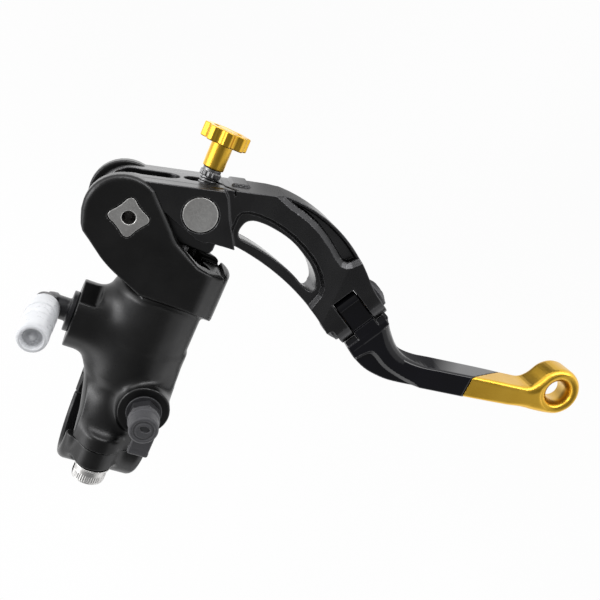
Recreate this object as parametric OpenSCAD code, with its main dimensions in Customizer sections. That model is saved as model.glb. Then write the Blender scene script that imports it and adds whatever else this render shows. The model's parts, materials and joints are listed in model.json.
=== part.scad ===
// Radial brake master cylinder with a folding, reach-adjustable lever.
// Units are millimetres. The origin is the centre of the handlebar clamp bore:
// +X runs outboard along the handlebar, +Y forward along the piston axis and +Z up.

/* [Handlebar clamp] */
// Diameter of the handlebar that the clamp grips
bar_d = 22.2; // [22:0.1:22.4]
// Width of the clamp along the handlebar
clamp_w = 25; // [24:0.5:28]
// Outside diameter of the clamp ring
clamp_d = 31; // [30.5:0.1:36]
// Height of each clamp bolt's axis above or below the handlebar's axis
bolt_z = 14.8; // [14.7:0.1:16]

/* [Hydraulic cylinder] */
// Bore diameter of the hydraulic cylinder
bore_d = 19; // [18:0.5:19]
// Outside diameter of the barrel
barrel_d = 28; // [26:0.5:28]
// Distance from the handlebar's axis to the closed end of the bore
bore_floor_y = 14.5; // [14:0.1:15]
// Distance from the handlebar's axis to the shoulder that stops the piston
stop_y = 51.6; // [51.4:0.1:52]
// Outside diameter of the fluid inlet boss
inlet_boss_d = 20.6; // [19:0.2:21]
// Outside diameter of the bleed screw boss and of the outlet boss
bleed_boss_d = 14.6; // [14:0.2:15.2]

/* [Lever pivot] */
// Sideways distance between the lever pivot and the piston axis
lever_ratio = 17.5; // [17:0.25:18]
// Distance from the handlebar's axis to the lever pivot
pivot_y = 67; // [66.5:0.25:67.5]
// Overall height of the two pivot ears
ears_h = 28; // [27.5:0.25:29]
// Gap between the two pivot ears, which the lever's hub fits
ear_gap = 17.5; // [17:0.1:17.8]
// Full pull of the lever in degrees, which the lever block is relieved for
pull_angle = 12; // [8:1:12]

/* [Lever] */
// Height of the lever block that holds the cross pin
block_h = 26; // [25:0.25:26.5]
// Height of the curved lever where it leaves the block
root_h = 19; // [18:0.5:20]
// Height of the lever at the folding knuckle
knuckle_h = 14; // [13.5:0.1:14.2]
// Height of the folding arm and of the lever tip
arm_h = 12; // [11:0.5:12.6]
// Diameter of the cross pin that carries the adjuster screw
cross_pin_d = 10; // [9:0.25:10]

/* [Adjuster] */
// Diameter across the lobes of the adjuster knob
knob_d = 13.8; // [12:0.2:15]
// Number of lobes around the adjuster knob
knob_lobes = 8; // [6:1:10]

/* [Hidden] */
$fn = 64;
eps = 0.01;
run = 0.05; // running clearance on a radius

// Lever geometry, measured from the pivot
pivot = [-lever_ratio, pivot_y];
pin_y = 7.5; // the cross pin stands this far forward of the pivot
pin_pos = [lever_ratio, pin_y];
hub_r = 10.4;
hub_h = 16;
ear_r = 10.5;
ear_arc_x = -1.5; // centre of the ears' round corner
ear_corner = [12, 0.4]; // where each ear's slanted edge turns down
ear_slant = atan2(7.7, 12.3);
slot_floor = -12; // floor of the slot between the ears
top_slope = 14.8; // slope of the lever block's top face
block_top_y = 10.45; // height of that face above the pivot

// Fold hinge: centre from the pivot, and the direction of its axis
fold_pos = [75.3, -5.3];
fold_angle = 60;
fork_w = 19;
fork_gap = 8.2;
tongue_r = 6.3;
tine_r = 7.3;
fold_bolt_r = 2.5;
shoulder = 7.8; // the folding arm's shoulders start this far from the hinge axis

// Lever tip
ring_pos = [158.5, -6.3];
ring_r = 8.2;
tip_hole_r = 3.2;
tip_joint_x = 123.5; // front of the slanted joint between the folding arm and the tip
tip_joint_run = 1.5; // how far outboard the joint runs for each millimetre down

// Cylinder internals
bore_r = bore_d / 2;
mouth_r = bore_r + 1.6;
ball_r = 3.2;
ball_y = stop_y - 0.6;
rod_r = 2.5;
piston_nose = 23.5;
washer_t = 1;
clip_t = 1;
piston_r = bore_r - run;

// Ports
inlet_y = 31;
inlet_x = -21.5; // face of the inlet boss
inlet_bore_r = 5;
bleed_pos = [6.1, 15];
bleed_top = 17;
outlet_bottom = -18;
outlet_r = 4.5; // M10 x 1 thread, at its minor diameter
outlet_depth = 9;
spot_r = 7.3; // spot faces around the bleed screw and the outlet port

// Inlet elbow
elbow_x = -29.7; // axis of the upright hose nozzle
nozzle_r = 3.4;
nozzle_top = 24;
cap_r = 4.1;
cap_top = 27;
flange_r = 6.2;

// Clamp hardware
bolt_r = 3;
bolt_seat_y = -6.6;
bolt_reach = 10.6; // how far the clamp bolts enter the body
split = 0.35; // half of the gap between the body and the clamp cap
boss_r = 5.7;
bolt_x = -1.2; // the clamp bolts stand slightly inboard of the middle
head_h = 4.4;
shim_t = 0.6; // thickness of the washers under the bolt heads

// ---- placing ----

// Moves children from the lever pivot's frame to the part's frame
module at_pivot() translate([pivot.x, pivot.y, 0]) children();

// Children drawn with the fold hinge along their X axis and the tip end towards -Y
module at_fold() at_pivot() translate([fold_pos.x, fold_pos.y, 0]) rotate(fold_angle) children();

// A round bar or bore along +X, +Y or +Z from a start point
module bar_x(r, length) rotate([0, 90, 0]) cylinder(r = r, h = length);
module bar_y(r, length) rotate([-90, 0, 0]) cylinder(r = r, h = length);
module ring_y(r_out, r_in, length) rotate([-90, 0, 0]) tube(r_out, r_in, length);
module tube(r_out, r_in, length) difference() {
    cylinder(r = r_out, h = length);
    translate([0, 0, -1]) cylinder(r = r_in, h = length + 2);
}

// Round coil spring along +Z: the level cut through a coil is a bent lens,
// which the twisted extrusion sweeps into a round wire
module coil(mean_r, wire_r, pitch, turns, slices_per_turn = 18) {
    half = 360 * wire_r / pitch;
    steps = 3;
    rim = [for (i = [-steps:steps]) half * sin(90 * i / steps)];
    function offset_at(a) = sqrt(max(0, wire_r * wire_r - pow(pitch * a / 360, 2)));
    outer = [for (a = rim) (mean_r + offset_at(a)) * [cos(a), sin(a)]];
    inner = [for (i = [2 * steps - 1:-1:1]) (mean_r - offset_at(rim[i])) * [cos(rim[i]), sin(rim[i])]];
    linear_extrude(height = pitch * turns, twist = -360 * turns, slices = round(slices_per_turn * turns),
        segments = len(outer)) polygon(concat(outer, inner));
}

// ---- outlines in the plane of the lever, from the pivot ----

// Everything on the pivot's side of the ears' slanted edge, moved outwards by grow
module ear_side(grow = 0) translate(ear_corner) rotate(-ear_slant)
    translate([-60, grow - 80]) square([120, 80]);

// One pivot ear, blending into the collar of the barrel
module ear_2d(grow = 0) {
    intersection() {
        translate([ear_arc_x, 0]) circle(r = ear_r + grow);
        ear_side(grow);
    }
    polygon([[ear_arc_x - ear_r - grow, 0], [ear_arc_x - ear_r - grow, -6.8], [3, -16.4], [8, -19.5],
        [lever_ratio, -21.5], [34, -21.5], [34, -9 + grow], [29 + grow, -8 + grow],
        [22.5 + grow, -6.4 + grow], [13.6 + grow, -1.3 + grow], ear_corner + grow * [0.53, 0.85],
        [0.1, 7.85] + grow * [0.53, 0.85]]);
}

// Lever block without the ears' relief: sloping top face and slanted outboard edge
module block_2d() difference() {
    polygon([[-2.65, 9.74], [22, 16.26], [24, 13.6], [29.6, 1.7], [22.5, 1.1], [12.4, 1.1],
        [9.2, -4.4]]);
    translate([18, -0.2]) square([3.4, 1]);
}

// Curved lever from the block to the knuckle: a band between two arcs,
// which starts along the line of the block's top face
module curve_2d() difference() {
    translate([36.5, -44.8]) circle(r = 65, $fn = 128);
    translate([20, -78]) circle(r = 81, $fn = 128);
    translate([-60, -130]) square([78, 200]);
    translate([-2.65, 9.74]) rotate(top_slope) square([120, 60]);
    translate(fold_pos) rotate(fold_angle) translate([-80, -170 + tine_r]) square([160, 170]);
    translate([60, -140]) square([140, 120]);
}

// Long curved window through the lever, with a round outboard end
module window_2d() {
    intersection() {
        translate([33, -27]) circle(r = 38);
        difference() {
            translate([29.8, -8]) square([28.2, 22]);
            translate([22, -72]) circle(r = 77, $fn = 128);
        }
    }
    translate([57.9, -1.2]) circle(r = 2.7);
}

// ---- body and clamp ----

module clamp_half(side) {
    difference() {
        union() {
            translate([-clamp_w / 2, 0, 0]) bar_x(clamp_d / 2, clamp_w);
            for (z = [-bolt_z, bolt_z]) translate([bolt_x, side > 0 ? 0 : bolt_seat_y, z])
                bar_y(boss_r, side > 0 ? 12.5 : -bolt_seat_y);
        }
        translate([-clamp_w, side > 0 ? -50 + split : -split, -40]) cube([2 * clamp_w, 50, 80]);
    }
}

module body() color("#1c1c1f") difference() {
    union() {
        clamp_half(1);
        // barrel, neck and collar
        translate([0, 12, 0]) bar_y(barrel_d / 2, 34);
        intersection() {
            translate([0, 44, 0]) bar_y(16.5, 14);
            translate([-40, 40, -ears_h / 2]) cube([80, 20, ears_h]);
        }
        translate([-clamp_w / 2, 0, -12]) cube([clamp_w, 20, 24]);
        // ears with the slot for the lever
        at_pivot() translate([0, 0, -ears_h / 2]) linear_extrude(ears_h) ear_2d();
        // fluid inlet, bleed and outlet bosses
        translate([inlet_x, inlet_y, 0]) bar_x(inlet_boss_d / 2, -inlet_x);
        translate([bleed_pos.x, bleed_pos.y, 0]) cylinder(r = bleed_boss_d / 2, h = bleed_top);
        translate([bleed_pos.x, bleed_pos.y, outlet_bottom]) cylinder(r = bleed_boss_d / 2, h = 20);
    }
    translate([-clamp_w, 0, 0]) bar_x(bar_d / 2, 2 * clamp_w);
    for (z = [-bolt_z, bolt_z]) translate([bolt_x, -1, z]) bar_y(bolt_r + run, bolt_reach + 1.5);
    // slot between the ears
    at_pivot() translate([-20, slot_floor, -ear_gap / 2]) cube([80, 60, ear_gap]);
    // bore, piston stop shoulder, mouth and circlip groove
    translate([0, bore_floor_y, 0]) bar_y(bore_r, 60);
    translate([0, stop_y, 0]) bar_y(mouth_r, 20);
    translate([0, stop_y + washer_t + 0.1, 0]) bar_y(mouth_r + 0.8, clip_t + 0.2);
    // inlet socket, clip groove and fluid port
    translate([inlet_x - 1, inlet_y, 0]) bar_x(inlet_bore_r, 8.9);
    translate([inlet_x + 6, inlet_y, 0]) bar_x(inlet_bore_r + 0.6, 0.9);
    translate([inlet_x, inlet_y, 0]) bar_x(1.5, 14);
    // bleed screw hole and its drilling
    translate([bleed_pos.x, bleed_pos.y, 9.5]) cylinder(r = 3, h = 20);
    translate([bleed_pos.x, bleed_pos.y, 0]) cylinder(r = 1.2, h = 12);
    // spot faces, which cut into the clamp bolts' bosses
    translate([bleed_pos.x, bleed_pos.y, bleed_top]) cylinder(r = spot_r, h = 10);
    translate([bleed_pos.x, bleed_pos.y, outlet_bottom - 10]) cylinder(r = spot_r, h = 10);
    // outlet port and its drilling
    translate([bleed_pos.x, bleed_pos.y, outlet_bottom - 1]) cylinder(r = outlet_r, h = outlet_depth + 1);
    translate([bleed_pos.x, bleed_pos.y, outlet_bottom]) cylinder(r = 1.5, h = -outlet_bottom);
    // pivot pin holes, with the recess for the pin's four-lobed head
    at_pivot() translate([0, 0, -ears_h]) cylinder(r = 4, h = 2 * ears_h);
    at_pivot() translate([0, 0, ears_h / 2 - 2]) linear_extrude(3) lobed_plate_2d(0.1);
    at_pivot() translate([0, 0, -ears_h / 2 - 1]) cylinder(r = 5.6, h = 2.6);
}

module clamp_cap() color("#1c1c1f") difference() {
    clamp_half(-1);
    translate([-clamp_w, 0, 0]) bar_x(bar_d / 2, 2 * clamp_w);
    for (z = [-bolt_z, bolt_z]) translate([bolt_x, bolt_seat_y - 1, z]) bar_y(bolt_r + 0.2, 20);
    // flats that the bolt heads and washers sit on
    for (z = [-bolt_z, bolt_z]) translate([bolt_x, bolt_seat_y - 20, z]) bar_y(boss_r, 20);
}

module clamp_bolts() color("silver") for (z = [-bolt_z, bolt_z])
    translate([bolt_x, bolt_seat_y - shim_t, z]) difference() {
        union() {
            bar_y(bolt_r, bolt_reach - bolt_seat_y + shim_t);
            translate([0, -head_h, 0]) bar_y(5, head_h);
        }
        translate([0, -head_h - eps, 0]) rotate([-90, 0, 0]) cylinder(r = 2.9, h = 3, $fn = 6);
    }

module clamp_washers() color("silver") for (z = [-bolt_z, bolt_z])
    translate([bolt_x, bolt_seat_y - shim_t, z]) ring_y(5.4, bolt_r + 0.2, shim_t);

// ---- pivot ----

// Square plate with rounded corners and slightly hollow sides
module lobed_plate_2d(grow = 0) {
    corner_r = 1.8;
    half = 4.27 - corner_r;
    hollow_r = 14;
    rotate(57) difference() {
        union() {
            for (x = [-half, half], y = [-half, half]) translate([x, y]) circle(r = corner_r + grow);
            for (a = [0, 90]) rotate(a)
                square([2 * half, 2 * (half + corner_r + grow)], center = true);
        }
        for (a = [0:90:270]) rotate(a) translate([half + corner_r + hollow_r - 0.4 + grow, 0])
            circle(r = hollow_r);
    }
}

module pivot_pin() color("silver") at_pivot() difference() {
    union() {
        translate([0, 0, -11]) cylinder(r = 4 - run, h = ears_h / 2 + 10);
        translate([0, 0, ears_h / 2 - 2]) linear_extrude(2.4) lobed_plate_2d();
    }
    translate([0, 0, ears_h / 2 - 2]) cylinder(r = 1.85, h = 5);
    translate([0, 0, -12]) cylinder(r = 2, h = 8);
}

module pivot_screw() color("silver") at_pivot() difference() {
    union() {
        translate([0, 0, -ears_h / 2 - 0.6]) cylinder(r = 5.4, h = 2);
        translate([0, 0, -ears_h / 2]) cylinder(r = 2, h = 9);
    }
    translate([0, 0, -ears_h / 2 - 1]) cylinder(r = 1.75, h = 1.8, $fn = 6);
}

module pivot_bushes() color("peru") at_pivot() for (s = [-1, 1])
    translate([0, 0, s > 0 ? 1 : -hub_h / 2]) tube(6, 4, hub_h / 2 - 1);

module thrust_washers() color("dimgray") at_pivot() for (z = [-hub_h / 2 - 0.7, hub_h / 2])
    translate([0, 0, z]) tube(6.4, 4.1, 0.7);

// ---- lever ----

// Band of the curved lever that tapers in height from the block to the knuckle
module lever_taper() at_pivot() rotate([90, 0, 0]) translate([0, 0, -60]) linear_extrude(120)
    polygon([[-20, -root_h / 2], [30, -root_h / 2], [66, -knuckle_h / 2], [100, -knuckle_h / 2],
        [100, knuckle_h / 2], [66, knuckle_h / 2], [30, root_h / 2], [-20, root_h / 2]]);

module lever_base() color("#161618") difference() {
    union() {
        at_pivot() translate([0, 0, -hub_h / 2]) linear_extrude(hub_h) {
            circle(r = hub_r);
            block_2d();
            // nose that covers the adjuster screw
            polygon([[6, -4.5], [14, -3.4], [24.4, -3.4], [25.4, -2.4], [25.4, 2], [12, 3]]);
        }
        // full-height block, relieved for the ears through the whole pull
        at_pivot() translate([0, 0, -block_h / 2]) linear_extrude(block_h) difference() {
            block_2d();
            for (a = [0:2:pull_angle]) rotate(a) ear_2d(0.3);
        }
        intersection() {
            lever_taper();
            union() {
                at_pivot() translate([0, 0, -root_h]) linear_extrude(2 * root_h) curve_2d();
                at_fold() translate([-fork_w / 2, 0, -knuckle_h]) cube([fork_w, 16, 2 * knuckle_h]);
                at_fold() translate([-fork_w / 2, 0, 0]) bar_x(tine_r, fork_w);
            }
        }
    }
    at_pivot() translate([0, 0, -20]) cylinder(r = 6, h = 40);
    // cross pin bore, and the slot that the adjuster screw swings in
    at_pivot() translate([pin_pos.x, pin_pos.y, -20]) cylinder(r = cross_pin_d / 2 + run, h = 40);
    screw_slot();
    at_pivot() translate([0, 0, -20]) linear_extrude(40) window_2d();
    // pocket in the top face, and the milled recess along the outer side of the lever
    at_pivot() translate([1, 11.6, 0]) rotate([90, 0, top_slope]) long_pocket(13, 5.4, 2);
    outer_recess(1);
    outer_recess(-1);
    // detent drilling beside the screw slot
    detent_frame() cylinder(r = 2, h = 12);
    // gap between the fork's tines, and the bolt hole across them
    at_fold() translate([-fork_gap / 2, -20, -20]) cube([fork_gap, 27.5, 40]);
    at_fold() translate([-20, 0, 0]) bar_x(fold_bolt_r + 0.02, 40);
}

// Round-ended pocket, level with XY and cut downwards from Z = 0
module long_pocket(length, width, depth) translate([0, 0, -1]) linear_extrude(depth + 2) {
    square([length - width, width], center = true);
    for (s = [-1, 1]) translate([s * (length - width) / 2, 0]) circle(d = width);
}

// Room for the adjuster screw to swing as the cross pin turns in the lever
module screw_slot() at_pivot() translate([pin_pos.x, pin_pos.y, 0]) {
    half_w = rod_r + 0.5;
    for (x = [-2.6, 0]) translate([x, 0, 0]) bar_y(half_w, 14);
    translate([-2.6, 0, -half_w]) cube([2.6, 14, 2 * half_w]);
    for (x = [0, 1.9]) translate([x, -14, 0]) bar_y(half_w, 14);
    translate([0, -14, -half_w]) cube([1.9, 14, 2 * half_w]);
}

// Shallow recess along the outer edge of the curved lever, on its top or bottom face
module outer_recess(side) at_pivot() {
    floor_z = side > 0 ? 4.6 : -24.6;
    translate([0, 0, floor_z]) linear_extrude(20) intersection() {
        difference() {
            translate([36.5, -44.8]) circle(r = 70, $fn = 128);
            translate([36.5, -44.8]) circle(r = 61.4, $fn = 128);
        }
        polygon([[33.5, 20], [35.5, 10], [60, 0], [69.8, 6.8], [73, 12], [60, 30], [33.5, 30]]);
    }
}

module cross_pin() color("silver") at_pivot() translate([pin_pos.x, pin_pos.y, 0]) difference() {
    translate([0, 0, -block_h / 2]) cylinder(r = cross_pin_d / 2, h = block_h);
    translate([0, -10, 0]) bar_y(rod_r + run, 20);
}

// ---- adjuster ----

screw_top = 27; // upper end of the adjuster screw, from the pivot
module adjuster_screw() color("silver") {
    top_y = pivot_y + screw_top;
    difference() {
        translate([0, ball_y, 0]) sphere(r = ball_r);
        translate([-10, ball_y + 2.2, -10]) cube(20);
    }
    translate([0, ball_y, 0]) bar_y(rod_r, top_y - ball_y);
    // serrated click collar
    translate([0, pivot_y + 17, 0]) rotate([-90, 0, 0]) for (a = [0:30:60])
        rotate(a) cylinder(r = 3.1, h = 1.3, $fn = 4);
    translate([0, pivot_y + 17, 0]) bar_y(2.9, 1.3);
}

module adjuster_knob() color("goldenrod") translate([0, pivot_y, 0]) rotate([-90, 0, 0]) difference() {
    union() {
        translate([0, 0, 19]) cylinder(r = 3.15, h = 8);
        translate([0, 0, 26.4]) linear_extrude(4.2) difference() {
            circle(d = knob_d);
            for (i = [0:knob_lobes - 1]) rotate(360 * i / knob_lobes)
                translate([knob_d / 2 + 0.75, 0]) circle(r = 1.65);
        }
    }
    translate([0, 0, 18]) cylinder(r = rod_r + 0.02, h = screw_top - 18 + 0.1);
    translate([0, 0, 22]) rotate([0, 90, 0]) cylinder(r = 1, h = 10);
    translate([0, 0, 29.8]) tube(4.1, 3.1, 2);
}

module knob_grub_screw() color("dimgray") translate([rod_r + 0.03, pivot_y + 22, 0]) difference() {
    bar_x(1, 1.7 - rod_r + 1.2);
    translate([0.3, 0, 0]) rotate([0, 90, 0]) cylinder(r = 0.5, h = 3, $fn = 6);
}

// Detent drilling: it slopes down through the block towards the adjuster screw
module detent_frame() at_pivot() translate([20.9, 11.7, 0]) rotate([0, 90, 20]) children();

module detent_plunger() color("silver") detent_frame() {
    translate([0, 0, 0.2]) cylinder(r1 = 0.8, r2 = 1.7, h = 1);
    translate([0, 0, 1.2]) cylinder(r = 1.7, h = 1.6);
}

module detent_spring() color("silver") detent_frame() translate([0, 0, 3.2])
    coil(1.3, 0.25, 0.9, 4, 14);

module detent_plug() color("dimgray") detent_frame() translate([0, 0, 7.3]) difference() {
    cylinder(r = 1.95, h = 2.2);
    translate([0, 0, 1]) cylinder(r = 1.1, h = 3, $fn = 6);
}

// ---- piston group ----

cup_grooves = [[26.6, 3.4], [43.6, 3]]; // start and width of the two seal grooves
groove_r = 6.4;

module piston() color("darkgray") difference() {
    translate([0, piston_nose, 0]) bar_y(piston_r, stop_y - 0.1 - piston_nose);
    for (g = cup_grooves) translate([0, g.x, 0]) ring_y(12, groove_r, g.y);
    // waist that the fluid from the reservoir fills
    translate([0, 31.4, 0]) ring_y(12, 6.8, 10.4);
    // seat for the return spring, and the seat for the screw's ball end
    translate([0, piston_nose - 1, 0]) bar_y(5.4, 4);
    translate([0, ball_y, 0]) sphere(r = ball_r + 0.12);
    translate([0, ball_y, 0]) bar_y(ball_r + 0.12, 3);
}

// Lip seal that widens towards its open end
module lip_seal(start, width) color("#202020") translate([0, start, 0]) rotate([-90, 0, 0])
    difference() {
        union() {
            cylinder(r = bore_r - 0.02, h = 1);
            translate([0, 0, 1 - eps]) cylinder(r = bore_r - 0.5, h = width - 1);
        }
        translate([0, 0, -1]) cylinder(r = groove_r + 0.02, h = width + 2);
        translate([0, 0, -1]) tube(bore_r - 1, groove_r + 1, 2.2);
    }

module primary_cup() lip_seal(cup_grooves[0].x + 0.1, 3.1);
module secondary_cup() lip_seal(cup_grooves[1].x + 0.1, 2.7);

module spring_seat() color("silver") translate([0, piston_nose + 2.2, 0]) ring_y(5.3, 1.5, 0.7);

module return_spring() color("silver") translate([0, bore_floor_y + 0.75, 0])
    rotate([-90, 0, 0]) coil(4.3, 0.6, 2.4, 4);

module stop_washer() color("silver") translate([0, stop_y + 0.02, 0]) ring_y(mouth_r - 0.1, 4.6, washer_t);

module piston_circlip() color("dimgray") translate([0, stop_y + washer_t + 0.15, 0]) difference() {
    ring_y(mouth_r + 0.7, mouth_r - 1.4, clip_t);
    translate([-2, -1, -mouth_r - 3]) cube([4, 4, 8]);
}

module dust_boot() color("#202020") translate([0, stop_y + washer_t + clip_t + 0.4, 0])
    rotate([-90, 0, 0]) rotate_extrude() polygon([[8.4, 0], [8.4, 1.2], [7.4, 1.6], [6.2, 2.1], [6.4, 2.7],
        [5, 3.2], [5.1, 3.7], [4.2, 4.1], [3.3, 4.1], [3.3, 3.6], [4.1, 2.8], [5, 1.7], [6.4, 0.7], [7.4, 0]]);

// ---- folding knuckle ----

module dome_head(r, h) {
    cylinder(r = r, h = h * 0.55);
    translate([0, 0, h * 0.55]) cylinder(r1 = r, r2 = r * 0.62, h = h * 0.45);
}

module fold_bolt() color("#2a2a2c") at_fold() difference() {
    union() {
        translate([-fork_w / 2, 0, 0]) bar_x(fold_bolt_r, fork_w + 0.6);
        translate([-fork_w / 2, 0, 0]) rotate([0, -90, 0]) dome_head(4.8, 2.2);
    }
    translate([-fork_w / 2 - 3, 0, 0]) rotate([0, 90, 0]) cylinder(r = 1.75, h = 3, $fn = 6);
}

module fold_nut() color("#2a2a2c") at_fold() translate([fork_w / 2 + 0.02, 0, 0]) rotate([0, 90, 0])
    difference() {
        dome_head(4.8, 2.2);
        translate([0, 0, -1]) cylinder(r = fold_bolt_r + 0.02, h = 1.8);
        translate([0, 0, 1.2]) cylinder(r = 1.75, h = 3, $fn = 6);
    }

module fold_bushes() color("peru") at_fold() for (x = [-3.9, 1.4])
    translate([x, 0, 0]) rotate([0, 90, 0]) tube(3.4, fold_bolt_r + run, 2.5);

module fold_spring() color("silver") at_fold() translate([-1.1, 0, 0]) rotate([0, 90, 0])
    translate([0, 0, 0.35]) coil(4, 0.35, 0.8, 2, 20);

// ---- folding arm and tip ----

// Outline of the folding arm and of the tip's neck, from the pivot
module arm_2d()
    polygon([[86.3, -1.4], [90.5, -6.6], [94.6, -10.6], [99.5, -12.9], [104.5, -13.7], [112, -12.9],
        [124, -11.3], [142, -8.7], [147.5, -7.6], [150.4, -4.8], [152.6, -0.4], [158, -6.3], [157, -14.2],
        [148, -16.2], [124, -19.3], [107, -21.4], [98, -22.4], [92, -22.4], [87, -21.4], [82, -19.4],
        [77.5, -16.6]]);

// Everything inboard of the slanted joint between arm and tip
module inboard_of_joint(gap = 0) at_pivot() rotate([90, 0, 0]) translate([0, 0, -60])
    linear_extrude(120) polygon([[-50, -30], [tip_joint_x + tip_joint_run * 36 - gap, -30],
        [tip_joint_x - tip_joint_run * 24 - gap, 30], [-50, 30]]);

tip_stud_pos = [128, -14.6];
tip_stud_angle = 7.5;
module tip_stud_bar(r, length) at_pivot() translate([tip_stud_pos.x, tip_stud_pos.y, 0])
    rotate(tip_stud_angle) translate([-length / 2, 0, 0]) bar_x(r, length);

module folding_arm() color("#0c0c0f") difference() {
    union() {
        intersection() {
            at_pivot() translate([0, 0, -arm_h / 2]) linear_extrude(arm_h) arm_2d();
            inboard_of_joint(0.02);
        }
        at_fold() translate([-fork_w / 2 + 0.6, -shoulder - 4, -6.2]) cube([fork_w - 1.2, 4, 12.4]);
        at_fold() translate([-3.9, 0, 0]) bar_x(tongue_r, 7.8);
        at_fold() translate([-3.9, -shoulder - 1, -5.4]) cube([7.8, shoulder + 1, 10.8]);
    }
    // hinge hole with a bush at each end, and the spring's pocket between them
    at_fold() translate([-10, 0, 0]) bar_x(fold_bolt_r + run, 20);
    at_fold() translate([-4.5, 0, 0]) bar_x(3.4, 9);
    at_fold() translate([-1.35, 0, 0]) bar_x(4.9, 2.7);
    tip_stud_bar(2.02, 21);
    // scooped recess along the inner side of the arm, on the top and bottom faces
    for (z = [4.6, -24.6]) at_pivot() translate([0, 0, z]) linear_extrude(20)
        polygon([[80, -19.5], [83.2, -17.2], [86, -15.2], [89, -16], [93, -18.2], [99, -19.6], [106, -20.6],
            [108, -24], [80, -24]]);
}

module lever_tip() color("goldenrod") difference() {
    union() {
        at_pivot() translate([0, 0, -arm_h / 2]) linear_extrude(arm_h) arm_2d();
        at_pivot() translate([ring_pos.x, ring_pos.y, -arm_h / 2]) cylinder(r = ring_r, h = arm_h);
    }
    inboard_of_joint(0);
    at_pivot() translate([ring_pos.x, ring_pos.y, -20]) cylinder(r = tip_hole_r, h = 40);
    // flared mouths of the hole
    for (s = [0, 180]) at_pivot() translate([ring_pos.x, ring_pos.y, 0]) rotate([s, 0, 0])
        translate([0, 0, arm_h / 2 - 2.4]) cylinder(r1 = tip_hole_r, r2 = tip_hole_r + 2.5, h = 2.5);
    tip_stud_bar(2.02, 21);
}

module tip_stud() color("silver") tip_stud_bar(2, 20.6);

// ---- inlet elbow ----

module inlet_elbow() color("#232326") translate([0, inlet_y, 0]) difference() {
    union() {
        translate([inlet_x + 0.1, 0, 0]) difference() {
            bar_x(inlet_bore_r - run, 7.4);
            translate([6, 0, 0]) rotate([0, 90, 0]) tube(8, 4.2, 0.7);
            translate([3, 0, 0]) rotate([0, 90, 0]) tube(8, 3.9, 1.5);
        }
        translate([inlet_x - 1.6, 0, 0]) bar_x(flange_r, 1.55);
        translate([elbow_x, 0, 0]) bar_x(nozzle_r, inlet_x - elbow_x + 1);
        translate([elbow_x, 0, 0]) sphere(r = nozzle_r);
        translate([elbow_x, 0, 0]) cylinder(r = nozzle_r - 0.3, h = nozzle_top);
        // hose barbs
        for (z = [8, 12.5, 17]) translate([elbow_x, 0, z])
            cylinder(r1 = nozzle_r, r2 = nozzle_r - 0.3, h = 3);
    }
    translate([elbow_x, 0, 0]) bar_x(1.6, 20);
    translate([elbow_x, 0, 0]) cylinder(r = 1.6, h = 40);
}

module elbow_o_ring() color("#101010") translate([inlet_x + 3.85, inlet_y, 0]) rotate([0, 90, 0])
    rotate_extrude() translate([4.42, 0]) circle(r = 0.5);

module elbow_clip() color("silver") translate([inlet_x + 6.15, inlet_y, 0]) rotate([0, 90, 0])
    difference() {
        tube(inlet_bore_r + 0.5, 4.25, 0.6);
        translate([-1.5, 0, -1]) cube([3, 8, 3]);
    }

module nozzle_cap() color("whitesmoke") translate([elbow_x, inlet_y, 0]) difference() {
    union() {
        translate([0, 0, nozzle_r + 0.4]) cylinder(r = cap_r + 0.35, h = 7.6);
        translate([0, 0, 11]) cylinder(r = cap_r, h = cap_top - 11 - 0.8);
        translate([0, 0, cap_top - 0.8]) cylinder(r1 = cap_r, r2 = cap_r - 0.7, h = 0.8);
    }
    translate([0, 0, 2]) cylinder(r = nozzle_r + run, h = nozzle_top - 1.8);
    translate([0, 0, cap_top - 0.9]) cylinder(r = 2.2, h = 2);
}

// ---- bleed screw ----

module bleed_screw() color("dimgray") translate([bleed_pos.x, bleed_pos.y, 0]) difference() {
    union() {
        translate([0, 0, 10.6]) cylinder(r1 = 1.4, r2 = 2.95, h = 1.6);
        translate([0, 0, 12.2]) cylinder(r = 2.95, h = 6);
        translate([0, 0, bleed_top + 0.75]) cylinder(r = 4.6, h = 3.6, $fn = 6);
        translate([0, 0, 21]) cylinder(r = 2.1, h = 2.6);
        translate([0, 0, 23.6]) cylinder(r1 = 2.6, r2 = 1.6, h = 2.4);
    }
    translate([0, 0, 14]) cylinder(r = 0.8, h = 14);
    translate([-4, 0, 14.4]) bar_x(0.7, 8);
}

module bleed_washer() color("dimgray") translate([bleed_pos.x, bleed_pos.y, bleed_top + 0.02])
    tube(5.2, 3.1, 0.7);

module bleed_cap() color("#303033") translate([bleed_pos.x, bleed_pos.y, 0]) difference() {
    union() {
        translate([0, 0, 21.5]) cylinder(r = 4.5, h = 1.6);
        translate([0, 0, 23]) cylinder(r = 4.2, h = 4.4);
        translate([0, 0, 27.4]) cylinder(r1 = 4.2, r2 = 3.6, h = 0.6);
        translate([-1, -10.9, 21.5]) cube([6, 9, 1.6]);
        translate([-1, -10.9, 19.6]) cube([6, 1.5, 3]);
    }
    translate([0, 0, 21]) cylinder(r = 2.65, h = 5.3);
}

body();
clamp_cap();
clamp_bolts();
clamp_washers();
pivot_pin();
pivot_screw();
pivot_bushes();
thrust_washers();
lever_base();
cross_pin();
adjuster_screw();
adjuster_knob();
knob_grub_screw();
detent_plunger();
detent_spring();
detent_plug();
piston();
primary_cup();
secondary_cup();
spring_seat();
return_spring();
stop_washer();
piston_circlip();
dust_boot();
fold_bolt();
fold_nut();
fold_bushes();
fold_spring();
folding_arm();
lever_tip();
tip_stud();
inlet_elbow();
elbow_o_ring();
elbow_clip();
nozzle_cap();
bleed_screw();
bleed_washer();
bleed_cap();
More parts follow.
